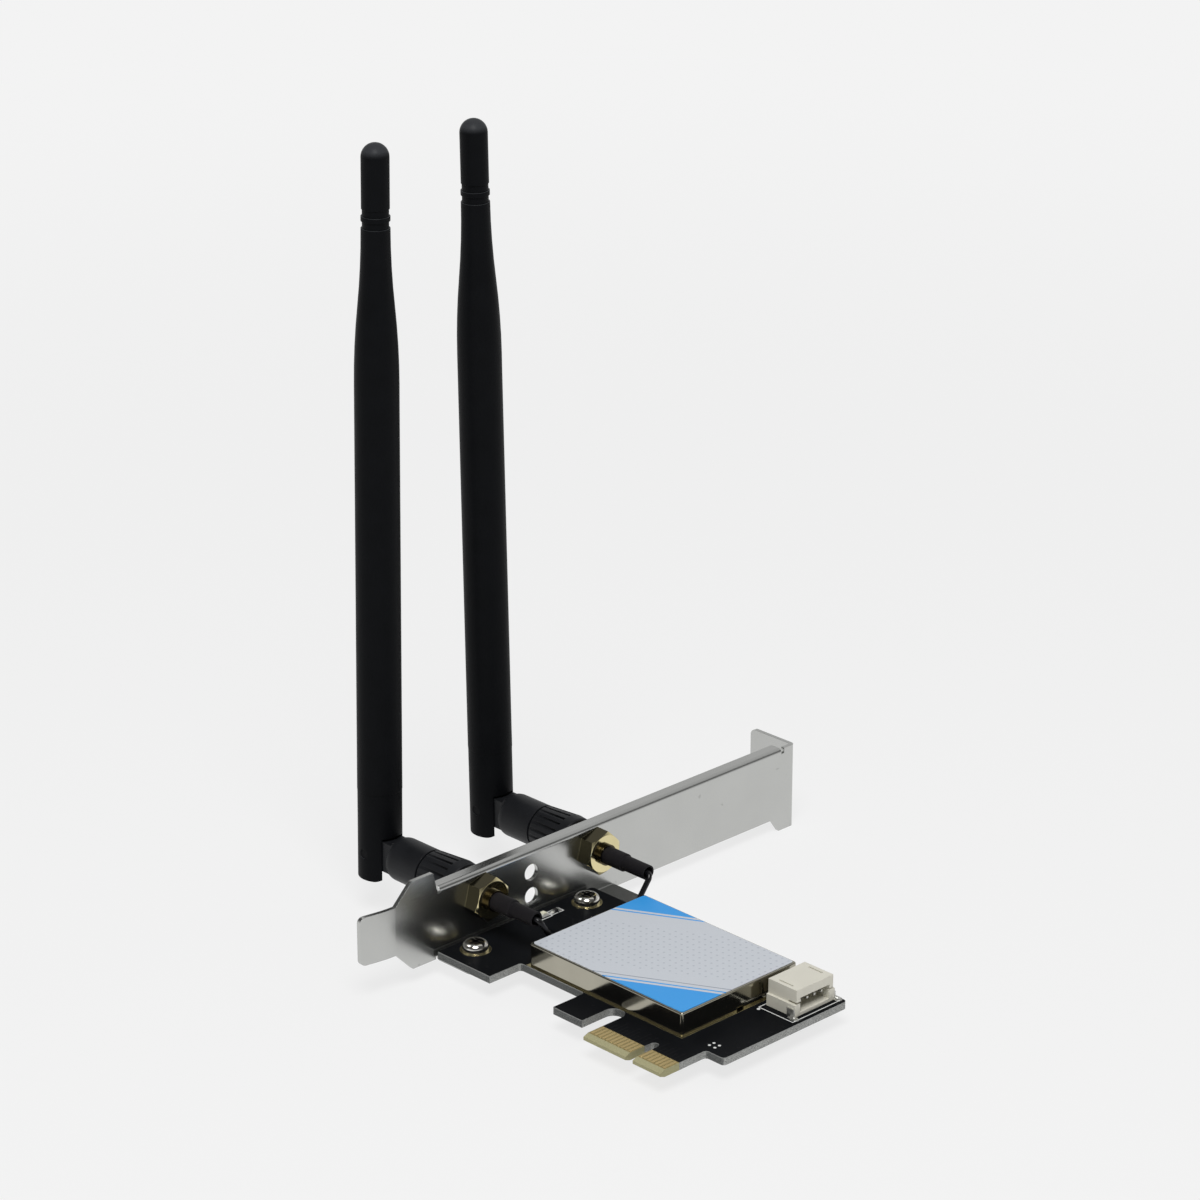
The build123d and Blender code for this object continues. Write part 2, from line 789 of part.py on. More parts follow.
# Antenna sockets through the bracket, with washer, nut, crimp, sleeve and pigtail
washer_start = sheet
socket_nut_start = washer_start + washer_thickness
mouth_start = thread_length - mouth_depth
collar_start = -hex_height - collar_length
sleeve_start = -hex_height - collar_rim_length
sleeve_mid = sleeve_start - sleeve_step
sleeve_end = shield_back_y + sleeve_to_shield - bracket_y
for side, x in socket_xs.items():
    with BuildPart() as socket_body:
        add(hex_on_socket(x, -hex_height, 0, hex_turn))
        add(tube_on_socket(x, -hex_height - stub_length, 0, stub_bore, stub_diameter))
        add(tube_on_socket(x, 0, thread_length, stub_bore, thread_diameter))
        mouth_rim = socket_body.edges().filter_by(GeomType.CIRCLE).sort_by(Axis.Y)[-1]
        chamfer(mouth_rim, mouth_depth / 5)
        bore = (
            (-hex_height, stub_bore / 2),
            (-insulator_back, stub_bore / 2),
            (-insulator_back, insulator_diameter / 2),
            (mouth_start, insulator_diameter / 2),
            (mouth_start, mouth_diameter / 2),
            (thread_length, mouth_diameter / 2),
            (thread_length, 0),
            (-hex_height, 0),
        )
        add(turned_on_socket(x, bore), mode=Mode.SUBTRACT)
    keep(socket_body, f"{side}_socket_body")

    with BuildPart() as socket_insulator:
        add(tube_on_socket(x, -insulator_back, mouth_start - seat_gap, contact_diameter, insulator_diameter))
    keep(socket_insulator, f"{side}_socket_insulator")

    with BuildPart() as socket_contact:
        bore_start = contact_reach - contact_bore_depth
        contact_outline = (
            (-insulator_back, 0),
            (bore_start, 0),
            (bore_start, contact_bore / 2),
            (contact_reach, contact_bore / 2),
            (contact_reach, contact_diameter / 2),
            (-insulator_back, contact_diameter / 2),
        )
        add(turned_on_socket(x, contact_outline))
    keep(socket_contact, f"{side}_socket_contact")

    with BuildPart() as lock_washer:
        with BuildSketch(socket_plane(x, washer_start)):
            Circle(washer_diameter / 2)
            Circle(thread_diameter / 2 + hole_clearance, mode=Mode.SUBTRACT)
            with PolarLocations(thread_diameter / 2 + hole_clearance, washer_teeth):
                Rectangle(2 * washer_notch_depth, washer_notch_width, mode=Mode.SUBTRACT)
        extrude(amount=washer_thickness)
    keep(lock_washer, f"{side}_lock_washer")

    with BuildPart() as socket_nut:
        add(hex_on_socket(x, socket_nut_start + socket_nut_height, socket_nut_start))
        with BuildSketch(socket_plane(x, socket_nut_start)):
            Circle(thread_diameter / 2)
        extrude(amount=socket_nut_height, mode=Mode.SUBTRACT)
    keep(socket_nut, f"{side}_socket_nut")

    with BuildPart() as crimp_collar:
        add(tube_on_socket(x, collar_start, -hex_height, stub_diameter, collar_diameter))
        add(tube_on_socket(x, sleeve_start, -hex_height, stub_diameter, collar_rim_diameter))
    keep(crimp_collar, f"{side}_crimp_collar")

    with BuildPart() as cable_sleeve:
        sleeve_outer = collar_diameter / 2 + sleeve_wall
        sleeve_outline = (
            (sleeve_start, collar_diameter / 2),
            (sleeve_start, sleeve_outer),
            (sleeve_mid, sleeve_outer),
            (sleeve_mid - sleeve_wall, sleeve_tail_diameter / 2),
            (sleeve_end, sleeve_tail_diameter / 2),
            (sleeve_end, sleeve_tail_bore / 2),
            (sleeve_mid, sleeve_tail_bore / 2),
            (collar_start, collar_diameter / 2),
        )
        add(turned_on_socket(x, sleeve_outline))
    keep(cable_sleeve, f"{side}_cable_sleeve")

    with BuildPart() as pigtail:
        run_y = shield_back_y + cable_run_y
        lead_x = x + inward[side] * cable_lead_step
        slot_x = cable_slot_xs[side]
        plug_neck_y = plug_y + plug_cap_diameter / 2 + plug_neck_length
        with BuildLine() as route:
            FilletPolyline(
                (x, bracket_y - insulator_back, socket_z),
                (x, bracket_y + sleeve_end - cable_drop_y, socket_z),
                (lead_x, run_y, cable_lead_z),
                (slot_x, run_y, cable_low_z),
                (slot_x, plug_neck_y, cable_low_z),
                radius=cable_bend_radius,
            )
        with BuildSketch(Plane((x, bracket_y - insulator_back, socket_z), z_dir=(0, -1, 0))):
            Circle(cable_diameter / 2)
        sweep(path=route.line)
    keep(pigtail, f"{side}_pigtail")

    with BuildPart() as board_socket:
        with Locations((slot_x, plug_y, 0)):
            Box(
                board_socket_size,
                board_socket_size,
                board_socket_base,
                align=(Align.CENTER, Align.CENTER, Align.MIN),
            )
            Cylinder(
                board_socket_post / 2,
                board_socket_height,
                align=(Align.CENTER, Align.CENTER, Align.MIN),
            )
    keep(board_socket, f"{side}_board_socket")

    with BuildPart() as pigtail_plug:
        with Locations((slot_x, plug_y, board_socket_base)):
            Cylinder(
                plug_cap_diameter / 2,
                cable_low_z + plug_neck_diameter / 2 - board_socket_base,
                align=(Align.CENTER, Align.CENTER, Align.MIN),
            )
        with BuildSketch(Plane((slot_x, plug_y, cable_low_z), z_dir=(0, 1, 0))):
            Circle(plug_neck_diameter / 2)
        extrude(amount=plug_cap_diameter / 2 + plug_neck_length)
        with Locations((slot_x, plug_y, board_socket_base)):
            Cylinder(
                board_socket_post / 2,
                board_socket_height - board_socket_base,
                align=(Align.CENTER, Align.CENTER, Align.MIN),
                mode=Mode.SUBTRACT,
            )
    keep(pigtail_plug, f"{side}_pigtail_plug")


# Screw-on end of each antenna: knurled nut, plug with its pin, and the turning barrel
nut_end = nut_start + nut_length
nut_bore = thread_diameter / 2 + thread_clearance
plug_flange_end = nut_end - nut_lip - seat_gap
plug_flange_start = plug_flange_end - plug_flange_length
neck_end = plug_flange_end + neck_length
barrel_start = nut_end + barrel_gap
barrel_bore = neck_diameter / 2 + running_clearance
link_end = hinge_reach + link_radius
for side, x in socket_xs.items():
    with BuildPart() as coupling_nut:
        nut_outline = (
            (nut_start, nut_bore),
            (nut_end - nut_lip, nut_bore),
            (nut_end - nut_lip, nut_lip_bore / 2),
            (nut_end, nut_lip_bore / 2),
            (nut_end, nut_back_diameter / 2 - nut_groove_depth),
            (nut_end - nut_groove_depth, nut_back_diameter / 2),
            (nut_start + nut_collar, nut_mouth_diameter / 2),
            (nut_start + nut_groove_depth, nut_mouth_diameter / 2 - nut_groove_depth / 2),
            (nut_start, nut_mouth_diameter / 2 - nut_groove_depth),
        )
        add(turned_on_socket(x, nut_outline))
        groove_length = nut_length - nut_collar
        nut_taper = (nut_mouth_diameter - nut_back_diameter) / 2
        with Locations(socket_plane(x, nut_start + nut_collar)):
            with PolarLocations(nut_mouth_diameter / 2, nut_ridges):
                Box(
                    2 * (nut_groove_depth + nut_taper / 2),
                    nut_groove_width,
                    groove_length,
                    align=(Align.CENTER, Align.CENTER, Align.MIN),
                    mode=Mode.SUBTRACT,
                )
    keep(coupling_nut, f"{side}_coupling_nut")

    with BuildPart() as plug_shell:
        groove_radius = neck_diameter / 2 - rib_depth - rib_clearance
        plug_outline = (
            (mouth_start + seat_gap, plug_bore / 2),
            (mouth_start + seat_gap, mouth_diameter / 2 - spigot_clearance),
            (plug_flange_start, mouth_diameter / 2 - spigot_clearance),
            (plug_flange_start, plug_flange_diameter / 2),
            (plug_flange_end, plug_flange_diameter / 2),
            (plug_flange_end, neck_diameter / 2),
            (rib_start - rib_clearance, neck_diameter / 2),
            (rib_start - rib_clearance, groove_radius),
            (rib_start + rib_length + rib_clearance, groove_radius),
            (rib_start + rib_length + rib_clearance, neck_diameter / 2),
            (neck_end, neck_diameter / 2),
            (neck_end, plug_bore / 2),
        )
        add(turned_on_socket(x, plug_outline))
    keep(plug_shell, f"{side}_plug_shell")

    with BuildPart() as plug_insulator:
        add(tube_on_socket(x, mouth_start + 2 * seat_gap, neck_end, plug_pin_diameter, plug_bore))
    keep(plug_insulator, f"{side}_plug_insulator")

    with BuildPart() as plug_pin:
        pin_start = mouth_start - plug_pin_reach
        with BuildSketch(socket_plane(x, pin_start)):
            Circle(plug_pin_diameter / 2)
        extrude(amount=neck_end - pin_start)
    keep(plug_pin, f"{side}_plug_pin")

    with BuildPart() as barrel:
        with BuildSketch(socket_plane(x, barrel_start)):
            Circle(barrel_diameter / 2)
        extrude(amount=barrel_end - barrel_start)
        fillet(barrel.edges().filter_by(GeomType.CIRCLE).sort_by(Axis.Y)[-1], barrel_end_radius)
        flat_length = 2 * (barrel_end - barrel_flat_start)
        flat_depth = barrel_diameter / 2
        for direction in (-1, 1):
            with Locations((x + direction * link_thickness / 2, bracket_y + barrel_end, socket_z)):
                Box(
                    flat_depth,
                    flat_length,
                    2 * barrel_diameter,
                    align=(Align.MIN if direction > 0 else Align.MAX, Align.CENTER, Align.CENTER),
                    mode=Mode.SUBTRACT,
                )
        with BuildSketch(side_plane(x - link_thickness / 2)):
            Circle(link_radius)
            with Locations(((barrel_end - barrel_end_radius - hinge_reach) / 2, 0)):
                Rectangle(hinge_reach - barrel_end + barrel_end_radius, 2 * link_radius)
        extrude(amount=link_thickness)
        barrel_hollow = (
            (barrel_start, 0),
            (barrel_start, barrel_bore),
            (rib_start, barrel_bore),
            (rib_start, barrel_bore - rib_depth),
            (rib_start + rib_length, barrel_bore - rib_depth),
            (rib_start + rib_length, barrel_bore),
            (neck_end + seat_gap, barrel_bore),
            (neck_end + seat_gap, 0),
        )
        add(turned_on_socket(x, barrel_hollow), mode=Mode.SUBTRACT)
        with BuildSketch(side_plane(x - barrel_diameter)):
            Circle(hinge_pin_diameter / 2 + running_clearance)
        extrude(amount=2 * barrel_diameter, mode=Mode.SUBTRACT)
    keep_leaning(barrel, side, "barrel")


# Tilting end of each antenna: forked knuckle on its pin, whip sheath and the radiator inside
slot_half = link_thickness / 2 + link_side_gap
slot_root = link_radius + link_root_gap
spigot_top = knuckle_top + spigot_length
whip_top = knuckle_top + whip_length
cap_start = whip_top - cap_length
taper_start = knuckle_top + whip_straight
taper_end = taper_start + whip_taper
whip_bore = spigot_diameter / 2 + whip_bore_clearance
core_radius = core_bore / 2 - core_gap
for side, x in socket_xs.items():
    with BuildPart() as knuckle:
        with BuildSketch(Plane.XY.offset(socket_z - knuckle_tail)):
            with Locations((x, hinge_y)):
                Circle(knuckle_diameter / 2)
        extrude(amount=knuckle_tail + knuckle_top)
        with BuildSketch(Plane.XY.offset(socket_z + knuckle_top)):
            with Locations((x, hinge_y)):
                Circle(spigot_diameter / 2)
        extrude(amount=spigot_length)
        with BuildSketch(side_plane(x - knuckle_diameter / 2)):
            with Locations((0, (spigot_top - knuckle_tail) / 2)):
                RectangleRounded(
                    knuckle_diameter,
                    spigot_top + knuckle_tail,
                    knuckle_tail_radius,
                )
            with Locations((0, (spigot_top + knuckle_top) / 2)):
                Rectangle(knuckle_diameter, spigot_top - knuckle_top)
        extrude(amount=knuckle_diameter, mode=Mode.INTERSECT)
        with Locations((x, hinge_y, socket_z + slot_root)):
            Box(
                2 * slot_half,
                2 * knuckle_diameter,
                2 * knuckle_diameter,
                align=(Align.CENTER, Align.CENTER, Align.MAX),
                mode=Mode.SUBTRACT,
            )
            Cylinder(
                core_bore / 2,
                spigot_top,
                align=(Align.CENTER, Align.CENTER, Align.MIN),
                mode=Mode.SUBTRACT,
            )
        with BuildSketch(side_plane(x - knuckle_diameter)):
            Circle(hinge_pin_diameter / 2)
        extrude(amount=2 * knuckle_diameter, mode=Mode.SUBTRACT)
    keep_leaning(knuckle, side, "knuckle")

    with BuildPart() as hinge_pin:
        pin_half = knuckle_diameter / 2 - link_side_gap
        with BuildSketch(side_plane(x - pin_half)):
            Circle(hinge_pin_diameter / 2)
        extrude(amount=2 * pin_half)
    keep_leaning(hinge_pin, side, "hinge_pin")

    with BuildPart() as whip_sheath:
        with BuildSketch(whip_plane(x)):
            with BuildLine():
                ring_radius = neck_ring_diameter / 2
                cap_radius = cap_diameter / 2
                low_groove = taper_end + groove_width
                high_groove = cap_start - groove_width
                dome_start = whip_top - cap_radius
                taper_middle = (taper_start + taper_end) / 2
                taper_radius = (whip_diameter / 2 + ring_radius) / 2
                Line((whip_bore, knuckle_top), (whip_base_diameter / 2, knuckle_top))
                Line((whip_base_diameter / 2, knuckle_top), (whip_diameter / 2, taper_start))
                TangentArc((whip_diameter / 2, taper_start), (taper_radius, taper_middle), tangent=(0, 1))
                TangentArc((ring_radius, taper_end), (taper_radius, taper_middle), tangent=(0, -1))
                Polyline(
                    (ring_radius, taper_end),
                    (ring_radius - groove_depth, taper_end),
                    (ring_radius - groove_depth, low_groove),
                    (ring_radius, low_groove),
                    (ring_radius, high_groove),
                    (ring_radius - groove_depth, high_groove),
                    (ring_radius - groove_depth, cap_start),
                    (cap_radius, cap_start),
                    (cap_radius, dome_start),
                )
                RadiusArc((cap_radius, dome_start), (0, whip_top), -cap_radius)
                Polyline(
                    (0, whip_top),
                    (0, whip_top - tip_wall),
                    (tip_bore / 2, whip_top - tip_wall),
                    (tip_bore / 2, taper_start),
                    (whip_bore, taper_start),
                    (whip_bore, knuckle_top),
                )
            make_face()
        revolve(axis=Axis((x, hinge_y, socket_z), (0, 0, 1)))
    keep_leaning(whip_sheath, side, "whip_sheath")

    with BuildPart() as radiator:
        with BuildSketch(whip_plane(x)):
            with BuildLine():
                cup_top = radiator_start + radiator_length
                cup_radius = radiator_diameter / 2
                Polyline(
                    (0, slot_root + seat_gap),
                    (core_radius, slot_root + seat_gap),
                    (core_radius, cup_top - radiator_wall),
                    (cup_radius - radiator_wall, cup_top - radiator_wall),
                    (cup_radius - radiator_wall, radiator_start),
                    (cup_radius, radiator_start),
                    (cup_radius, cup_top),
                    (core_radius, cup_top),
                    (core_radius, whip_top - tip_wall - seat_gap),
                    (0, whip_top - tip_wall - seat_gap),
                    close=True,
                )
            make_face()
        revolve(axis=Axis((x, hinge_y, socket_z), (0, 0, 1)))
    keep_leaning(radiator, side, "radiator")
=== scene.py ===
"""Looks for the plug-in radio network card: materials, fine pieces, floor, light and camera.

Sizes and places on the part are in millimetres, in the part's own frame, and MM turns them into metres.
The floor and the lamp are in metres.
"""

import math

import bmesh
import bpy
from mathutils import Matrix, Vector


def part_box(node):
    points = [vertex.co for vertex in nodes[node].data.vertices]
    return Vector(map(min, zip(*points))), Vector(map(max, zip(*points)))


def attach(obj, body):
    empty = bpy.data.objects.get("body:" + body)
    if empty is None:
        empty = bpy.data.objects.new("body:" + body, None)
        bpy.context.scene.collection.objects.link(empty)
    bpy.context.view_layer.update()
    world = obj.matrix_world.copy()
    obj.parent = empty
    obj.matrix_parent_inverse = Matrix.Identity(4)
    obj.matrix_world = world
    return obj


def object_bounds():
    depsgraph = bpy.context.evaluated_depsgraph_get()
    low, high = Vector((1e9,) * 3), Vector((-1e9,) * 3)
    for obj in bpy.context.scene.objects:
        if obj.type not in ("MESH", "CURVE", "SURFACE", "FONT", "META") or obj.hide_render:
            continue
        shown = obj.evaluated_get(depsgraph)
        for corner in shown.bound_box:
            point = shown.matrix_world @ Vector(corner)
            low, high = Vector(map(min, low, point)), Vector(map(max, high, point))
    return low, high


MM = 0.001
SIDES = ("left", "right")

# Places on the part that the materials follow
SOCKET_XS, SOCKET_Z = (15.95, 46.35), 8.0
SOCKET_PITCH, SOCKET_THREAD = 0.7056, (60.85, 68.3)
SCREW_XS, SCREW_Y = (9.7, 39.8), 52.5
SCREW_PITCH, SCREW_THREAD = 0.45, (-4.0, -1.0)
RECESS_HALF, RECESS_REACH, RECESS_FLOOR, RECESS_TOP = 0.42, 1.47, 0.5, 1.7
BRACKET_Y = 57.45
CONTACT_ZONE_END, CONTACT_SPAN, CONTACT_MARGIN = 5.0, (-8.15, 12.15), 0.1
BOARD_EDGE_SKIN = -0.16
RESISTOR_LENGTH, RESISTOR_BODY_HALF = 1.6, 0.48
LENS_BASE = 0.62

# Surface texture: noise per millimetre, depths in millimetres, and shares of the roughness or of the height
EVEN = (1, 1, 1)
NOISE_RANGE = (0.3, 0.7)
BEVEL_SAMPLES = 12
METAL_CLOUDS, METAL_CLOUD_GLOSS, METAL_GLOSS_SHARE = 0.13, (-0.005, 0.01), 0.03
METAL_DEPTH, METAL_BUMP = 0.001, 0.03
SPECKS_PER_MM, SPECK_EDGE, SPECK_RAMP, SPECK_SHADE = 0.62, 0.775, 0.012, 0.5
THREAD_DEPTH, THREAD_RAMP = 0.3, 0.05
PLASTIC_CLOUDS, PLASTIC_CLOUD_GLOSS, PLASTIC_GLOSS = 0.2, 0.03, 0.05
PLASTIC_BUMP = 0.4
# Painted sheen on plastic faces that look up: where it sets in, and how far it lowers the roughness
PAINTED_SHEEN_SLOPE, PAINTED_SHEEN_GLOSS = (0.12, 0.5), 0.12

# Sockets of Blender's Mix node: factor and two values, then the result
MIX_SOCKETS = {"FLOAT": ((0, 2, 3), 0), "RGBA": ((0, 6, 7), 2)}

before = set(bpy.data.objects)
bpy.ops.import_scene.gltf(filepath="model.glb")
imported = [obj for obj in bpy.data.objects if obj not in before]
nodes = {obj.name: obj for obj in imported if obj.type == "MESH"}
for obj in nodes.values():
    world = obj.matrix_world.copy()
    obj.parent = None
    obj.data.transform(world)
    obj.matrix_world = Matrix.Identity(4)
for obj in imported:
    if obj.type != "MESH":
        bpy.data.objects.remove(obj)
cad_low, cad_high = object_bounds()
scene = bpy.context.scene


# Shader graphs
class Graph:
    """The node tree of a material or a world, with short calls for the nodes that this scene uses."""

    def __init__(self, owner):
        owner.use_nodes = True
        self.tree = owner.node_tree
        self.tree.nodes.clear()
        self.places = self.add("ShaderNodeTexCoord").outputs

    def add(self, kind):
        return self.tree.nodes.new(kind)

    def put(self, socket, value):
        """Link a socket to another one, or set it to a plain value."""
        if isinstance(value, bpy.types.NodeSocket):
            self.tree.links.new(value, socket)
        elif isinstance(value, tuple) and socket.type == "RGBA":
            socket.default_value = (*value, 1.0)
        else:
            socket.default_value = value

    def operate(self, kind, operation, values):
        node = self.add(kind)
        node.operation = operation
        for socket, value in zip(node.inputs, values):
            self.put(socket, value)
        return node.outputs

    def vector(self, operation, *values):
        """A vector operation, which gives a number for a length or a dot product."""
        result = "Value" if operation in ("LENGTH", "DOT_PRODUCT") else "Vector"
        return self.operate("ShaderNodeVectorMath", operation, values)[result]

    def math(self, operation, *values):
        """An operation on one or two numbers."""
        return self.operate("ShaderNodeMath", operation, values)["Value"]

    def product(self, first, *others):
        for other in others:
            first = self.math("MULTIPLY", first, other)
        return first

    def inverse(self, mask):
        """1 where the mask is 0, and 0 where it is 1."""
        return self.math("SUBTRACT", 1.0, mask)

    def distance(self, value, centre):
        return self.math("ABSOLUTE", self.math("SUBTRACT", value, centre))

    def spread(self, value, low, high, start=NOISE_RANGE[0], end=NOISE_RANGE[1], curve="LINEAR"):
        """Map the range from start to end, at first that of a noise, to the range from low to high."""
        node = self.add("ShaderNodeMapRange")
        node.interpolation_type = curve
        self.put(node.inputs["Value"], value)
        names = ("From Min", "From Max", "To Min", "To Max")
        for name, limit in zip(names, (start, end, low, high)):
            node.inputs[name].default_value = limit
        return node.outputs[0]

    def step(self, value, edge, ramp):
        """0 below the edge and 1 above it, with a ramp that reaches that far to both sides."""
        return self.spread(value, 0.0, 1.0, edge - ramp, edge + ramp)

    def window(self, value, start, end, ramp):
        """1 between two edges and 0 outside them."""
        return self.math("SUBTRACT", self.step(value, start, ramp), self.step(value, end, ramp))

    def mix(self, factor, first, second, kind="RGBA"):
        """A colour between two colours or, with the kind FLOAT, a number between two numbers."""
        node = self.add("ShaderNodeMix")
        node.data_type = kind
        inputs, result = MIX_SOCKETS[kind]
        for index, value in zip(inputs, (factor, first, second)):
            self.put(node.inputs[index], value)
        return node.outputs[result]


class Surface(Graph):
    """A material of the part: one shader, and patterns that follow places in millimetres."""

    def __init__(self, name):
        self.material = bpy.data.materials.new(name)
        super().__init__(self.material)
        self.shader = self.add("ShaderNodeBsdfPrincipled")
        output = self.add("ShaderNodeOutputMaterial")
        self.put(output.inputs["Surface"], self.shader.outputs[0])
        self.mm = self.vector("MULTIPLY", self.places["Object"], (1 / MM,) * 3)

    def split(self, vector):
        node = self.add("ShaderNodeSeparateXYZ")
        self.put(node.inputs[0], vector)
        return tuple(node.outputs)

    def xyz(self):
        """The three coordinates, in millimetres."""
        return self.split(self.mm)

    def normal(self):
        """The surface normal in the object's own axes."""
        return self.split(self.places["Normal"])

    def noise(self, per_mm, detail, stretch=EVEN):
        node = self.add("ShaderNodeTexNoise")
        self.put(node.inputs["Vector"], self.vector("MULTIPLY", self.mm, stretch))
        node.inputs["Scale"].default_value = per_mm
        node.inputs["Detail"].default_value = detail
        return node.outputs["Fac"]

    def shades(self, noise, first, second, start=NOISE_RANGE[0], end=NOISE_RANGE[1]):
        """A colour that wanders between two colours as a noise does."""
        return self.mix(self.spread(noise, 0.0, 1.0, start, end), first, second)

    def bump(self, height, depth_mm, strength, below=None):
        node = self.add("ShaderNodeBump")
        node.inputs["Strength"].default_value = strength
        node.inputs["Distance"].default_value = depth_mm * MM
        self.put(node.inputs["Height"], height)
        if below is not None:
            self.put(node.inputs["Normal"], below)
        return node.outputs[0]

    def rounded(self, radius_mm):
        """The normal, turned softly over sharp edges."""
        node = self.add("ShaderNodeBevel")
        node.samples = BEVEL_SAMPLES
        node.inputs["Radius"].default_value = radius_mm * MM
        return node.outputs[0]

    def thread(self, along, across, turned, pitch, ends):
        """Height, from 0 to 1, of a right-hand thread between two places along its axis."""
        turns = self.math("DIVIDE", self.math("ARCTAN2", across, turned), 2 * math.pi)
        phase = self.math("SUBTRACT", self.math("DIVIDE", along, pitch), turns)
        ridge = self.math("MULTIPLY", self.math("PINGPONG", phase, 0.5), 2.0)
        return self.product(ridge, self.window(along, *ends, THREAD_RAMP))

    def set(self, **values):
        """Give the shader its values, and hand the material back."""
        for name, value in values.items():
            self.put(self.shader.inputs[name.replace("_", " ")], value)
        return self.material


def scaled(colour, share):
    return tuple(share * c for c in colour)


# Materials
def metal(
    name, colour, rough, per_mm=4.0, grain=EVEN, tint=0.06, edge=0.08, specks=0.0, thread=None, dark=None
):
    """Plated metal with a fine grain, faint clouds and soft edges.

    specks says how strong its dark specks are, thread gives a height, and dark is a place where shade is
    painted, with how dark that shade is.
    """
    g = Surface(name)
    fine = g.noise(per_mm, 2.0, grain)
    cloud = g.noise(METAL_CLOUDS, 3.0)
    tone = g.shades(cloud, scaled(colour, 1 - 2 * tint), colour)
    if specks:
        spots = g.step(g.noise(SPECKS_PER_MM, 1.0), SPECK_EDGE, SPECK_RAMP)
        tone = g.mix(g.product(spots, specks), tone, scaled(colour, SPECK_SHADE))
    # Painted shade: the colour is darkened over the given place.
    if dark:
        place, shade = dark
        tone = g.mix(place(g), tone, scaled(colour, shade))
    shape = g.bump(fine, METAL_DEPTH, METAL_BUMP, g.rounded(edge))
    if thread:
        shape = g.bump(thread(g, *g.xyz()), THREAD_DEPTH, 1.0, shape)
    gloss = g.spread(fine, (1 - METAL_GLOSS_SHARE) * rough, (1 + METAL_GLOSS_SHARE) * rough)
    return g.set(
        Base_Color=tone,
        Metallic=1.0,
        Roughness=g.math("ADD", gloss, g.spread(cloud, *METAL_CLOUD_GLOSS)),
        Normal=shape,
    )


def plastic(name, colour, rough, specular, per_mm=7.0, depth=0.006, tint=0.12, edge=0.1, painted_sheen=None):
    """Moulded plastic with a fine texture and soft edges. The paler tone given for faces that look up is a
    painted sheen, and the roughness is lower there too.
    """
    g = Surface(name)
    fine = g.noise(per_mm, 3.0)
    cloud = g.noise(PLASTIC_CLOUDS, 2.0)
    tone = g.shades(cloud, scaled(colour, 1 - tint), scaled(colour, 1 + tint))
    gloss = g.spread(fine, rough - PLASTIC_GLOSS, rough + PLASTIC_GLOSS)
    # Painted sheen: faces that look up get a paler tone and a lower roughness.
    if painted_sheen:
        _, _, up = g.normal()
        upward = g.spread(up, 0.0, 1.0, *PAINTED_SHEEN_SLOPE)
        tone = g.mix(upward, tone, painted_sheen)
        gloss = g.math("SUBTRACT", gloss, g.product(upward, PAINTED_SHEEN_GLOSS))
    return g.set(
        Base_Color=tone,
        Roughness=g.math("ADD", gloss, g.spread(cloud, -PLASTIC_CLOUD_GLOSS, PLASTIC_CLOUD_GLOSS)),
        Specular_IOR_Level=specular,
        Normal=g.bump(fine, depth, PLASTIC_BUMP, g.rounded(edge)),
    )


def socket_thread(centre_x):
    """Thread of the antenna socket at that place."""

    def height(g, x, y, z):
        across, turned = g.math("SUBTRACT", x, centre_x), g.math("SUBTRACT", z, SOCKET_Z)
        return g.thread(y, across, turned, SOCKET_PITCH, SOCKET_THREAD)

    return height


def screw_thread(g, x, y, z):
    """Thread of both board screws, under the board."""
    from_left, from_right = (g.math("SUBTRACT", x, place) for place in SCREW_XS)
    beside = g.math("GREATER_THAN", x, sum(SCREW_XS) / 2)
    across, turned = g.math("SUBTRACT", y, SCREW_Y), g.mix(beside, from_left, from_right, "FLOAT")
    return g.thread(z, across, turned, SCREW_PITCH, SCREW_THREAD)


def hex_sides_painted_shade(g):
    """The side faces of the socket's hexagon, where the gold is darkened with a painted shade for the dark
    surroundings they mirror.
    """
    _, y, _ = g.xyz()
    _, along, _ = g.normal()
    sideways = g.inverse(g.step(g.math("ABSOLUTE", along), 0.35, 0.05))
    return g.product(sideways, g.inverse(g.step(y, BRACKET_Y, 0.1)))


def recess_painted_shade(g):
    """The inside of the screws' cross recess, where shade is painted into the colour."""
    x, y, z = g.xyz()
    across = g.math("MINIMUM", *(g.distance(x, place) for place in SCREW_XS))
    along = g.distance(y, SCREW_Y)
    thin = g.inverse(g.step(g.math("MINIMUM", across, along), RECESS_HALF, 0.04))
    near = g.inverse(g.step(g.math("MAXIMUM", across, along), RECESS_REACH, 0.04))
    sunk = g.inverse(g.step(z, RECESS_TOP, 0.12))
    return g.product(thin, near, sunk, g.step(z, RECESS_FLOOR, 0.1))


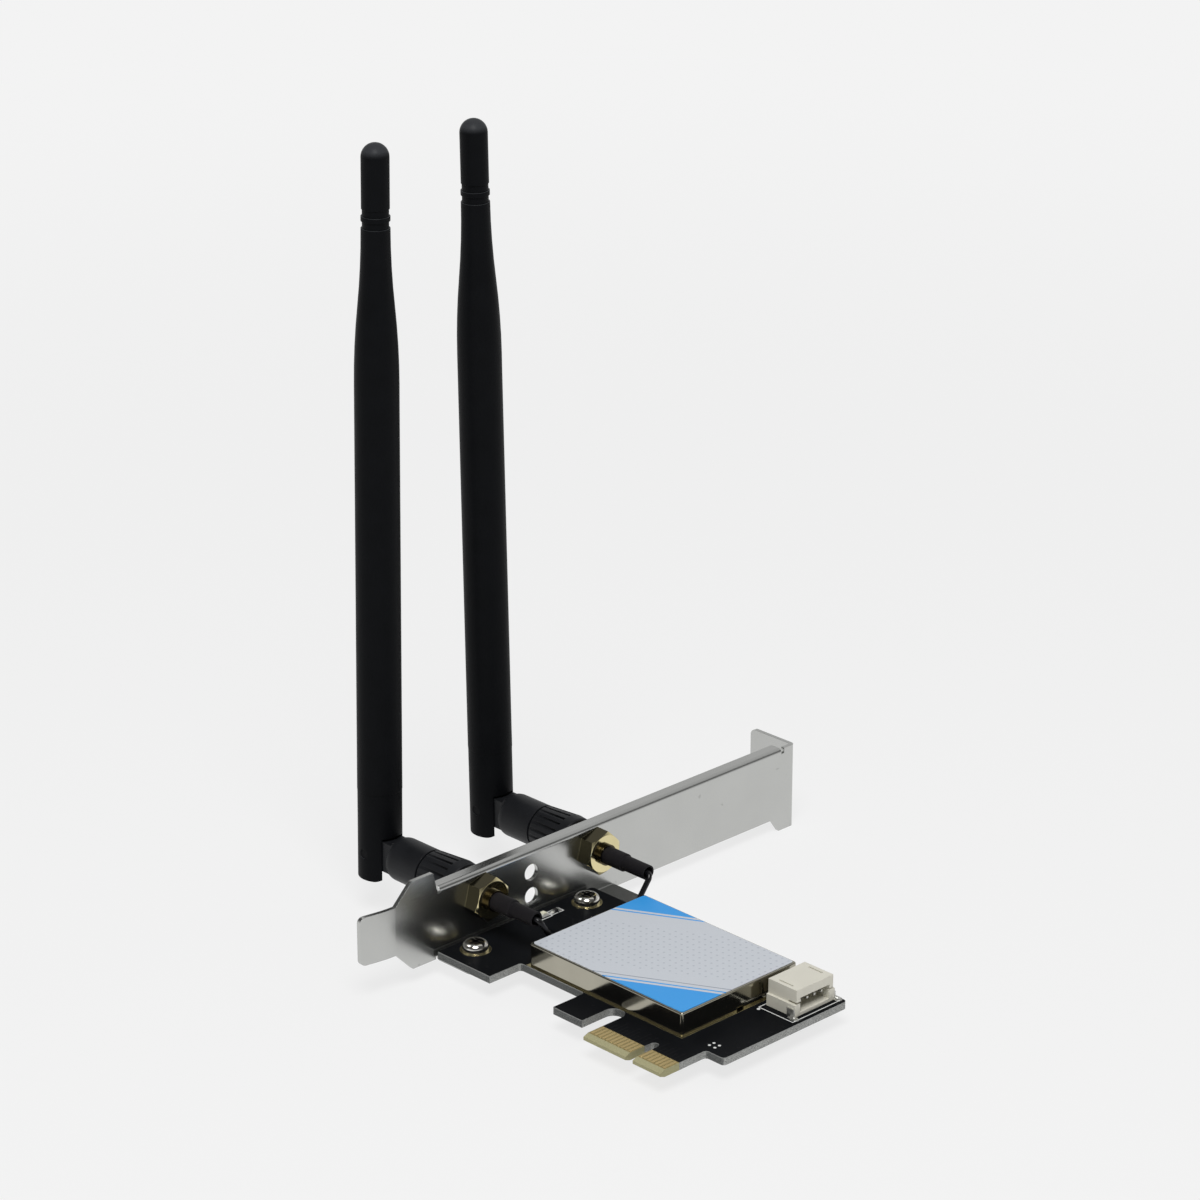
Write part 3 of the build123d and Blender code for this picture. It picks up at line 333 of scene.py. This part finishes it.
def board_material():
    """Black solder mask, bare substrate at the contact edge and cut glass-fibre edges."""
    g = Surface("solder_mask")
    x, y, z = g.xyz()
    _, along, up = g.normal()
    flat = g.step(g.math("ABSOLUTE", up), 0.97, 0.02)
    routed = g.step(along, -0.7, 0.1)
    beside = g.distance(y, sum(CONTACT_SPAN) / 2)
    half = (CONTACT_SPAN[1] - CONTACT_SPAN[0]) / 2 + CONTACT_MARGIN
    bare = g.inverse(g.math("MAXIMUM", g.step(x, CONTACT_ZONE_END, 0.04), g.step(beside, half, 0.04)))
    weave = g.noise(2.6, 3.0)
    fibre = g.noise(5.0, 4.0, (1, 1, 2.5))
    cloud = g.noise(0.12, 2.0)
    coarse = (0.4, 0.62)
    mask = g.shades(cloud, (0.0040, 0.0045, 0.0056), (0.0058, 0.0064, 0.0077))
    resin = g.shades(weave, (0.23, 0.19, 0.085), (0.31, 0.26, 0.125))
    pale_edge = g.shades(fibre, (0.29, 0.27, 0.15), (0.43, 0.41, 0.25))
    sawn_edge = g.shades(fibre, (0.17, 0.175, 0.17), (0.50, 0.505, 0.49), *coarse)
    routed_edge = g.shades(fibre, (0.060, 0.063, 0.063), (0.20, 0.205, 0.20), *coarse)
    grey_edge = g.mix(routed, sawn_edge, routed_edge)
    grey_edge = g.mix(g.step(z, BOARD_EDGE_SKIN, 0.05), grey_edge, (0.30, 0.305, 0.295))
    face = g.mix(bare, mask, resin)
    edge = g.mix(bare, grey_edge, pale_edge)
    face_gloss = g.mix(bare, 0.42, 0.5, "FLOAT")
    gloss = g.mix(flat, 0.75, face_gloss, "FLOAT")
    return g.set(
        Base_Color=g.mix(flat, edge, face),
        Roughness=g.math("ADD", gloss, g.spread(weave, -0.05, 0.05)),
        Specular_IOR_Level=0.03,
        Normal=g.bump(weave, 0.004, 0.35, g.bump(fibre, 0.01, 0.2, g.rounded(0.06))),
    )


LABEL_SLOPE = 0.55
DOT_CELL, DOT_REACH_SQUARED, DOT_STRENGTH = 1.6, 0.022, 0.35
DOT_FIELD_START, DOT_FIELD_END = 17.0, 15.0


def label_material():
    """Satin paper printed with plain fields: two blue corner wedges, pinstripes and a dot grid."""
    grey, blue, slate = (0.57, 0.60, 0.645), (0.038, 0.325, 0.775), (0.20, 0.235, 0.30)
    g = Surface("label_print")
    low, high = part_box("shield_label")
    width, length = (high[0] - low[0]) / MM, (high[1] - low[1]) / MM
    x, y, _ = g.xyz()
    across, along = g.math("SUBTRACT", x, low[0] / MM), g.math("SUBTRACT", y, low[1] / MM)
    slant = g.math("ADD", across, g.math("MULTIPLY", along, LABEL_SLOPE))
    full = width + LABEL_SLOPE * length
    fibre = g.noise(4.0, 3.0)
    colour = g.shades(fibre, scaled(grey, 0.97), scaled(grey, 1.02))
    squares = []
    for way in (across, along):
        from_centre = g.math("SUBTRACT", g.math("FRACT", g.math("DIVIDE", way, DOT_CELL)), 0.5)
        squares.append(g.math("POWER", from_centre, 2.0))
    dots = g.inverse(g.step(g.math("ADD", *squares), DOT_REACH_SQUARED, 0.008))
    field = g.window(slant, DOT_FIELD_START, full - DOT_FIELD_END, 0.1)
    colour = g.mix(g.product(dots, field, DOT_STRENGTH), colour, slate)
    wedges = ((0.0, 10.5, blue), (full - 8.0, full + 1.0, blue))
    lines = ((11.3, 11.8, blue), (13.0, 13.25, slate), (full - 9.3, full - 8.8, blue))
    for start, end, ink in wedges + lines:
        colour = g.mix(g.window(slant, start, end, 0.03), colour, ink)
    return g.set(
        Base_Color=colour,
        Roughness=g.spread(fibre, 0.36, 0.46),
        Specular_IOR_Level=0.3,
        Normal=g.bump(fibre, 0.002, 0.2),
    )


def resistor_material():
    """Dark body with tinned ends, set by the distance from each resistor's middle."""
    g = Surface("chip_resistor")
    x, _, _ = g.xyz()
    low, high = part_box("lamp_resistors")
    middle = (low[0] + high[0]) / 2 / MM
    spacing = (high[0] - low[0]) / MM - RESISTOR_LENGTH
    from_own_middle = g.distance(g.distance(x, middle), spacing / 2)
    end = g.step(from_own_middle, RESISTOR_BODY_HALF, 0.03)
    grain = g.noise(8.0, 3.0)
    return g.set(
        Base_Color=g.mix(end, (0.015, 0.015, 0.016), (0.66, 0.66, 0.63)),
        Metallic=end,
        Roughness=g.spread(grain, 0.3, 0.45),
        Normal=g.bump(grain, 0.004, 0.3),
    )


def lamp_material():
    """Pale body with a yellowish lens on top."""
    g = Surface("lamp_resin")
    _, _, z = g.xyz()
    grain = g.noise(6.0, 2.0)
    return g.set(
        Base_Color=g.mix(g.step(z, LENS_BASE, 0.03), (0.72, 0.72, 0.68), (0.78, 0.76, 0.60)),
        Roughness=g.spread(grain, 0.18, 0.3),
        Normal=g.bump(grain, 0.003, 0.2),
    )


def track_material():
    """Solder mask over copper, a little paler than the bare board."""
    g = Surface("masked_copper")
    grain = g.noise(3.0, 3.0)
    return g.set(
        Base_Color=g.shades(grain, (0.0062, 0.0067, 0.0077), (0.0088, 0.0094, 0.0105)),
        Roughness=g.spread(grain, 0.36, 0.46),
        Specular_IOR_Level=0.04,
        Normal=g.bump(grain, 0.003, 0.3),
    )


GOLD = (0.78, 0.69, 0.40)
GOLD_ROUGH = 0.14

materials = {
    "bracket": metal("nickel_sheet", (0.535, 0.54, 0.525), 0.25, 6.0, (0.4, 1, 1), tint=0.02, specks=0.3),
    "gold": metal("gold_plate", GOLD, GOLD_ROUGH),
    "finger": metal("finger_gold", (0.66, 0.50, 0.22), 0.2),
    # The crimp collar's brass is darkened to near black with painted shade, for the dark surroundings it
    # mirrors.
    "crimp": metal("crimp_brass_painted_shade", (0.085, 0.07, 0.042), 0.2),
    "shield": metal("tin_shield", (0.415, 0.395, 0.325), 0.13, 3.0, (1, 1, 0.2), edge=0.15),
    # The screws' cross recess is darkened with painted shade.
    "screw": metal(
        "screw_nickel", (0.78, 0.76, 0.71), 0.16, 5.0, thread=screw_thread, dark=(recess_painted_shade, 0.12)
    ),
    "tin": metal("tin_plate", (0.70, 0.70, 0.66), 0.24),
    "solder": metal("tin_solder", (0.72, 0.72, 0.69), 0.42),
    # The antenna plastic's paler tone on faces that look up is a painted sheen.
    "antenna": plastic(
        "antenna_plastic", (0.0040, 0.0044, 0.0052), 0.48, 0.05, edge=0.2, painted_sheen=(0.036, 0.038, 0.0415)
    ),
    # The joint plastic is paler than the antenna plastic by a painted sheen.
    "joint": plastic("joint_plastic_painted_sheen", (0.0105, 0.0112, 0.0130), 0.45, 0.18, edge=0.2),
    "sleeve": plastic("shrink_sleeve", (0.0095, 0.0085, 0.0100), 0.62, 0.16, 3.0, 0.02),
    "cable": plastic("cable_jacket", (0.006, 0.006, 0.007), 0.24, 0.3, 5.0, 0.002),
    "nylon": plastic("ivory_nylon", (0.665, 0.645, 0.56), 0.42, 0.4, 5.0, 0.004, tint=0.03),
    "white": plastic("white_insulator", (0.80, 0.80, 0.77), 0.4, 0.4, 5.0, 0.003, tint=0.03),
    "chip": plastic("chip_resin", (0.018, 0.018, 0.019), 0.55, 0.3, 8.0, 0.006),
    "ink": plastic("white_ink", (0.70, 0.71, 0.70), 0.6, 0.3, 9.0, 0.002, tint=0.04, edge=0.01),
    "track": track_material(),
    "board": board_material(),
    "label": label_material(),
    "resistor": resistor_material(),
    "lamp": lamp_material(),
}
# Each socket's gold has its thread, and a painted shade on the hexagon's side faces.
for side, place in zip(SIDES, SOCKET_XS):
    materials[f"{side}_socket"] = metal(
        f"{side}_socket_gold", GOLD, GOLD_ROUGH, thread=socket_thread(place), dark=(hex_sides_painted_shade, 0.1)
    )

finish = {
    "bracket": "bracket", "bracket_tab": "bracket", "circuit_board": "board",
    "contact_fingers_top": "finger", "contact_fingers_bottom": "finger", "screw_pads": "gold",
    "board_screws": "screw", "shield_ground_pad": "gold", "shield_can": "shield", "shield_label": "label",
    "radio_chip": "chip", "amplifier_chips": "chip", "clock_crystal": "tin", "filter_parts": "white",
    "status_lamp": "lamp", "lamp_resistors": "resistor", "header_housing": "nylon",
    "header_pins": "tin", "header_tabs": "solder",
}
side_finish = {
    "socket_insulator": "white", "socket_contact": "gold", "lock_washer": "gold",
    "socket_nut": "gold", "crimp_collar": "crimp", "cable_sleeve": "sleeve", "pigtail": "cable",
    "board_socket": "gold", "pigtail_plug": "gold", "plug_shell": "gold", "plug_insulator": "white",
    "plug_pin": "gold", "coupling_nut": "joint", "barrel": "joint", "knuckle": "antenna",
    "hinge_pin": "antenna", "whip_sheath": "antenna", "radiator": "gold",
}
for side in SIDES:
    finish.update({f"{side}_{name}": look for name, look in side_finish.items()})
    finish[f"{side}_socket_body"] = f"{side}_socket"
for name, look in finish.items():
    nodes[name].data.materials.clear()
    nodes[name].data.materials.append(materials[look])


# Fine pieces on the board: masked tracks with their vias, printed marks and solder
INK = (-0.005, 0.018)
INK_LINE = 0.2
BOARD_UNDER = -1.57
TRACK_SINK, TRACK_RISE = 0.01, 0.025
TRACK_TOP = (-TRACK_SINK, TRACK_RISE)
TRACK_UNDER = (BOARD_UNDER + TRACK_SINK, BOARD_UNDER - TRACK_RISE)
FINE_TRACK, TRACK, PIN_TRACK = 0.22, 0.25, 0.35
VIA_REACH = 0.3
VIA_FACETS, ROUND_FACETS = 14, 20
FINGER_YS = [1.5 + n for n in range(11)] + [-1.5 - n for n in range(7)]
FINGER_END = 4.9
LEAD_END = 41.0
PIN_XS = [35.7 + 2 * n for n in range(4)]
HEADER_TABS = ((32.7, -10.9), (44.7, -10.9))
RESISTOR_XS, LAMP_X, LAMP_Y = (26.1, 32.5), 29.3, 53.95
FREE_VIAS = (
    (6.1, 45.3), (5.2, 48.6), (14.6, 46.2), (17.4, 43.0),
    (23.2, 48.4), (36.2, 43.4), (43.6, 45.0), (9.6, 19.4),
)


def build(name, form, material):
    """Turn a form into an object of one material."""
    mesh = bpy.data.meshes.new(name)
    form.to_mesh(mesh)
    form.free()
    mesh.materials.append(material)
    item = bpy.data.objects.new(name, mesh)
    scene.collection.objects.link(item)
    return item


def piece(name, form, look, body="card"):
    """Turn a form into a piece with its finish, riding on a body."""
    bmesh.ops.recalc_face_normals(form, faces=form.faces)
    item = build(name, form, materials[look])
    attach(item, body)
    return item


def ribbon(form, points, width, low, high):
    """Add a flat strip along points (x, y), with mitred corners, between two heights."""
    path = [Vector((*point, 0)) for point in points]
    runs = [(end - start).normalized() for start, end in zip(path, path[1:])]
    rows = []
    for place, before, after in zip(path, runs[:1] + runs, runs + runs[-1:]):
        along = (before + after).normalized()
        side = Vector((-along.y, along.x, 0)) * (width / 2 / along.dot(before))
        corners = ((side, low), (side, high), (-side, high), (-side, low))
        rows.append([form.verts.new((place + shift + Vector((0, 0, z))) * MM) for shift, z in corners])
    for first, second in zip(rows, rows[1:]):
        for n in range(4):
            form.faces.new((first[n - 1], first[n], second[n], second[n - 1]))
    form.faces.new(rows[0])
    form.faces.new(rows[-1])


def lathe(form, centre, reach, profile, facets=ROUND_FACETS):
    """Add a round or oval form: profile holds (share of the reach, height) from the outside in."""
    rings = []
    for share, z in profile:
        ring = []
        for n in range(facets):
            angle = 2 * math.pi * n / facets
            x = centre[0] + reach[0] * share * math.cos(angle)
            y = centre[1] + reach[1] * share * math.sin(angle)
            ring.append(form.verts.new(Vector((x, y, z)) * MM))
        rings.append(ring)
    for outer, inner in zip(rings, rings[1:]):
        for n in range(facets):
            form.faces.new((outer[n - 1], outer[n], inner[n], inner[n - 1]))
    form.faces.new(rings[0])
    form.faces.new(rings[-1])


def via(form, centre, low, high):
    """Add a masked via: a low ring with a sunk middle."""
    middle = (low + high) / 2
    profile = ((1, low), (1, middle), (0.9, high), (0.55, high), (0.4, middle), (0.2, low))
    lathe(form, centre, (VIA_REACH, VIA_REACH), profile, VIA_FACETS)


def mound(form, centre, reach, height):
    """Add a solder fillet: a low heap with hollow sides."""
    shares = (1.0, 0.82, 0.62, 0.42, 0.22, 0.06)
    lathe(form, centre, reach, [(share, height * (1 - share) ** 1.5) for share in shares])


def contact_tracks(form):
    """Add a short track and a via behind each contact finger, on both faces."""
    for n, y in enumerate(FINGER_YS):
        end = 6.6 + 1.1 * (n % 3) if abs(y) > 1.6 else 8.6
        for face in (TRACK_TOP, TRACK_UNDER):
            ribbon(form, ((FINGER_END, y), (end, y)), TRACK, *face)
            via(form, (end + 0.2, y), *face)


def lamp_tracks(form):
    """Add the tracks that run from the lamp and the board's corner to under the shield."""
    for shift in (0.0, 0.5):
        corner_lead = ((45.0, 51.2 + shift), (38.6, 51.2 + shift), (33.2, 45.8 + shift), (33.2, LEAD_END))
        ribbon(form, corner_lead, FINE_TRACK, *TRACK_TOP)
        left_lead = ((26.0, 53.0), (26.0, 46.4 + shift), (20.6 - shift, LEAD_END))
        ribbon(form, left_lead, FINE_TRACK, *TRACK_TOP)
    right_lead = ((32.6, 53.2), (32.6, 49.0), (29.4, 45.8), (29.4, LEAD_END))
    ribbon(form, right_lead, FINE_TRACK, *TRACK_TOP)


def header_tracks(form):
    """Add the header's tracks: short ones on top, and long ones with vias underneath."""
    for n, x in enumerate(PIN_XS):
        ribbon(form, ((x, -2.0), (x, -3.6)), PIN_TRACK, *TRACK_TOP)
        turn = 6.0 + 3.0 * n
        ends = ((x, -1.0), (x - 4.0, 30.0))
        ribbon(form, (ends[0], (x, turn), (x - 4.0, turn + 4.0), ends[1]), TRACK, *TRACK_UNDER)
        for spot in ends:
            via(form, spot, *TRACK_UNDER)


def under_tracks(form):
    """Add the tracks that lead from the contact edge across the underside."""
    for n in range(5):
        y = 2.5 + 2 * n
        end = (24.0, y + 3.0)
        ribbon(form, ((9.2, y), (14.0 + n, y), (17.0 + n, y + 3.0), end), TRACK, *TRACK_UNDER)
        via(form, end, *TRACK_UNDER)


def free_vias(form):
    """Add vias along the board's edges, and a few between the parts."""
    edge_vias = tuple((x, -11.7) for x in range(14, 32, 3))
    for y in range(20, 56, 4):
        via(form, (44.7, y - 0.5), *TRACK_UNDER)
        via(form, (13.0, y + 0.5), *TRACK_UNDER)
    for spot in edge_vias + FREE_VIAS:
        via(form, spot, *TRACK_TOP)
        via(form, spot, *TRACK_UNDER)


def board_tracks():
    form = bmesh.new()
    for add_tracks in (contact_tracks, lamp_tracks, header_tracks, under_tracks, free_vias):
        add_tracks(form)
    return form


def outline(form, low, high):
    """Add a closed printed frame between two corners."""
    middle = (low[0] + high[0]) / 2
    corners = ((middle, low[1]), (high[0], low[1]), high, (low[0], high[1]), low, (middle, low[1]))
    ribbon(form, corners, INK_LINE, *INK)


def dot(form, centre, reach):
    """Add a printed dot."""
    lathe(form, centre, (reach, reach), ((1, INK[0]), (1, INK[1]), (0.5, INK[1])))


def board_marks():
    form = bmesh.new()
    for spot in ((13.9, -8.6), (15.1, -8.6), (13.9, -7.2), (15.1, -7.2)):
        dot(form, spot, 0.3)
    outline(form, (31.6, -11.7), (45.1, -2.9))
    dot(form, (31.0, -3.4), 0.35)
    for x in RESISTOR_XS:
        outline(form, (x - 1.5, LAMP_Y - 0.8), (x + 1.5, LAMP_Y + 0.8))
    outline(form, (LAMP_X - 1.4, LAMP_Y - 1.05), (LAMP_X + 1.4, LAMP_Y + 1.05))
    return form


def board_solder():
    form = bmesh.new()
    for spot in HEADER_TABS:
        mound(form, spot, (0.75, 1.15), 0.55)
    for x in PIN_XS:
        mound(form, (x, -2.25), (0.42, 0.65), 0.35)
    for end in (-1, 1):
        for x in RESISTOR_XS:
            mound(form, (x + 0.95 * end, LAMP_Y), (0.45, 0.5), 0.3)
        mound(form, (LAMP_X + 1.0 * end, LAMP_Y), (0.5, 0.55), 0.3)
    return form


piece("board_tracks", board_tracks(), "track")
piece("board_marks", board_marks(), "ink")
solder = piece("board_solder", board_solder(), "solder")
for face in solder.data.polygons:
    face.use_smooth = True


# Floor, light and camera
BACKGROUND = 0.896
FLOOR_SIZE, FLOOR_CELLS, FLOOR_MIDDLE = 8.0, 8, (0.05, 0.05)
FLOOR_PAPER = 0.88
FLOOR_FADE, FLOOR_GLOW = (0.15, 0.7), (0.86, 1.0)
SKY_AXIS, SKY_BAND, SKY_LEVELS = (-0.15, -0.15, 0.977), (0.10, 0.41), (0.896, 0.10)
PANEL_AXIS, PANEL_BAND, PANEL_LEVELS = (0.75, 0.35, 0.56), (0.60, 0.75), (0.0, 0.72)
KEY_PLACE, KEY_TARGET = Vector((-0.38, -0.36, 1.0)), Vector((0.04825, 0.05745, 0.03))
KEY_SIZE, KEY_POWER = 0.6, 11.0
LENS, SENSOR, CLIP = 125.1, 36.0, (0.01, 50.0)
TARGET = Vector((48.25, 57.45, 61.1)) * MM
AZIMUTH, ELEVATION, DISTANCE = math.radians(-44.12), math.radians(21.61), 817.6 * MM


def aim(item, place, target):
    """Put a lamp or the camera at a place, looking at its target."""
    scene.collection.objects.link(item)
    item.location = place
    item.rotation_mode = "QUATERNION"
    item.rotation_quaternion = (target - place).to_track_quat("-Z", "Y")


def seen_background(g):
    """1 where a ray from the camera, a mirror or glass arrives, else 0."""
    rays = g.add("ShaderNodeLightPath").outputs
    seen = rays["Is Camera Ray"]
    for name in ("Is Glossy Ray", "Is Transmission Ray"):
        seen = g.math("MAXIMUM", seen, rays[name])
    return seen


def floor_material():
    """Pale paper that looks like the background, all of it far away and most of it under the part."""
    material = bpy.data.materials.new("floor_paper")
    g = Graph(material)
    paper, glow = g.add("ShaderNodeBsdfDiffuse"), g.add("ShaderNodeEmission")
    g.put(paper.inputs["Color"], (FLOOR_PAPER,) * 3)
    g.put(glow.inputs["Color"], (BACKGROUND,) * 3)
    away = g.vector("LENGTH", g.places["Object"])
    share = g.product(seen_background(g), g.spread(away, *FLOOR_GLOW, *FLOOR_FADE, "SMOOTHSTEP"))
    mixed, output = g.add("ShaderNodeMixShader"), g.add("ShaderNodeOutputMaterial")
    for socket, value in zip(mixed.inputs, (share, paper.outputs[0], glow.outputs[0])):
        g.put(socket, value)
    g.put(output.inputs["Surface"], mixed.outputs[0])
    return material


def studio_world():
    """A pale horizon under a dark ceiling, with a soft panel on the right."""
    world = bpy.data.worlds.new("studio")
    g = Graph(world)
    levels = []
    for axis, band, ends in ((SKY_AXIS, SKY_BAND, SKY_LEVELS), (PANEL_AXIS, PANEL_BAND, PANEL_LEVELS)):
        height = g.vector("DOT_PRODUCT", g.places["Generated"], axis)
        levels.append(g.spread(height, *ends, *band))
    studio, output = g.add("ShaderNodeBackground"), g.add("ShaderNodeOutputWorld")
    g.put(studio.inputs["Strength"], g.math("MAXIMUM", *levels))
    g.put(output.inputs["Surface"], studio.outputs[0])
    return world


floor_form = bmesh.new()
bmesh.ops.create_grid(floor_form, x_segments=FLOOR_CELLS, y_segments=FLOOR_CELLS, size=FLOOR_SIZE / 2)
floor = build("floor", floor_form, floor_material())
floor.location = (*FLOOR_MIDDLE, cad_low.z)

scene.world = studio_world()
key_data = bpy.data.lights.new("key", "AREA")
key_data.shape = "DISK"
key_data.size = KEY_SIZE
key_data.energy = KEY_POWER
aim(bpy.data.objects.new("key", key_data), KEY_PLACE, KEY_TARGET)

camera_data = bpy.data.cameras.new("camera")
camera_data.lens = LENS
camera_data.sensor_width = SENSOR
camera_data.clip_start, camera_data.clip_end = CLIP
camera = bpy.data.objects.new("camera", camera_data)
level = math.cos(ELEVATION)
back = Vector((math.sin(AZIMUTH) * level, -math.cos(AZIMUTH) * level, math.sin(ELEVATION)))
aim(camera, TARGET + back * DISTANCE, TARGET)
scene.camera = camera
scene.view_settings.view_transform = "Standard"
